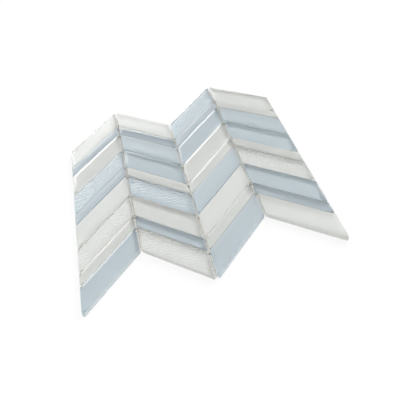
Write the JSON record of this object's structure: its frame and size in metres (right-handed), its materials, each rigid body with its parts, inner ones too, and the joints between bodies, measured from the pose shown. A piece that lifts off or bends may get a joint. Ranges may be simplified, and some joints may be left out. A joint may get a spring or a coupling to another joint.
{
  "type": "chevron glass mosaic tile sheet",
  "caption": "Mesh-backed sheet of slanted pale blue and white glass strips laid in a zigzag chevron, for tiling walls and backsplashes.",
  "frame": {"origin": "middle of the sheet at the underside of its net, on the plane the sheet lies on", "axes": "+X across the columns, +Y along the columns to the end with the two points, +Z out of the glass face"},
  "size_m": [0.2976, 0.3764, 0.0085],
  "materials": {
    "blue_gloss": "clear polished glass over a pale grey-blue painted back",
    "blue_frosted": "frosted face, pale grey-blue painted back",
    "blue_textured": "fine linen relief on the face, pale grey-blue painted back",
    "white_gloss": "clear polished glass over an off-white painted back",
    "white_frosted": "frosted face, off-white painted back",
    "white_textured": "fine linen relief on the face, off-white painted back",
    "net": "resin-coated glass fibre yarn"
  },
  "bodies": {
    "root": {"column1_strip1_white_textured": "white_textured", "column1_strip2_blue_frosted": "blue_frosted", "column1_strip3_white_gloss": "white_gloss", "column1_strip4_blue_textured": "blue_textured", "column1_strip5_blue_frosted": "blue_frosted", "column1_strip6_white_frosted": "white_frosted", "column1_strip7_white_textured": "white_textured", "column1_strip8_white_gloss": "white_gloss", "column1_strip9_blue_gloss": "blue_gloss", "column2_strip1_white_frosted": "white_frosted", "column2_strip2_blue_gloss": "blue_gloss", "column2_strip3_blue_frosted": "blue_frosted", "column2_strip4_blue_gloss": "blue_gloss", "column2_strip5_white_frosted": "white_frosted", "column2_strip6_blue_textured": "blue_textured", "column2_strip7_white_gloss": "white_gloss", "column2_strip8_blue_gloss": "blue_gloss", "column2_strip9_white_textured": "white_textured", "column3_strip1_blue_textured": "blue_textured", "column3_strip2_blue_frosted": "blue_frosted", "column3_strip3_blue_gloss": "blue_gloss", "column3_strip4_white_gloss": "white_gloss", "column3_strip5_white_gloss": "white_gloss", "column3_strip6_blue_frosted": "blue_frosted", "column3_strip7_white_frosted": "white_frosted", "column3_strip8_white_gloss": "white_gloss", "column3_strip9_blue_frosted": "blue_frosted", "column4_strip1_white_gloss": "white_gloss", "column4_strip2_white_frosted": "white_frosted", "column4_strip3_blue_frosted": "blue_frosted", "column4_strip4_blue_gloss": "blue_gloss", "column4_strip5_white_frosted": "white_frosted", "column4_strip6_white_textured": "white_textured", "column4_strip7_blue_gloss": "blue_gloss", "column4_strip8_blue_gloss": "blue_gloss", "column4_strip9_white_frosted": "white_frosted", "net_column1": "net", "net_column2": "net", "net_column3": "net", "net_column4": "net"}
  },
  "joints": []
}
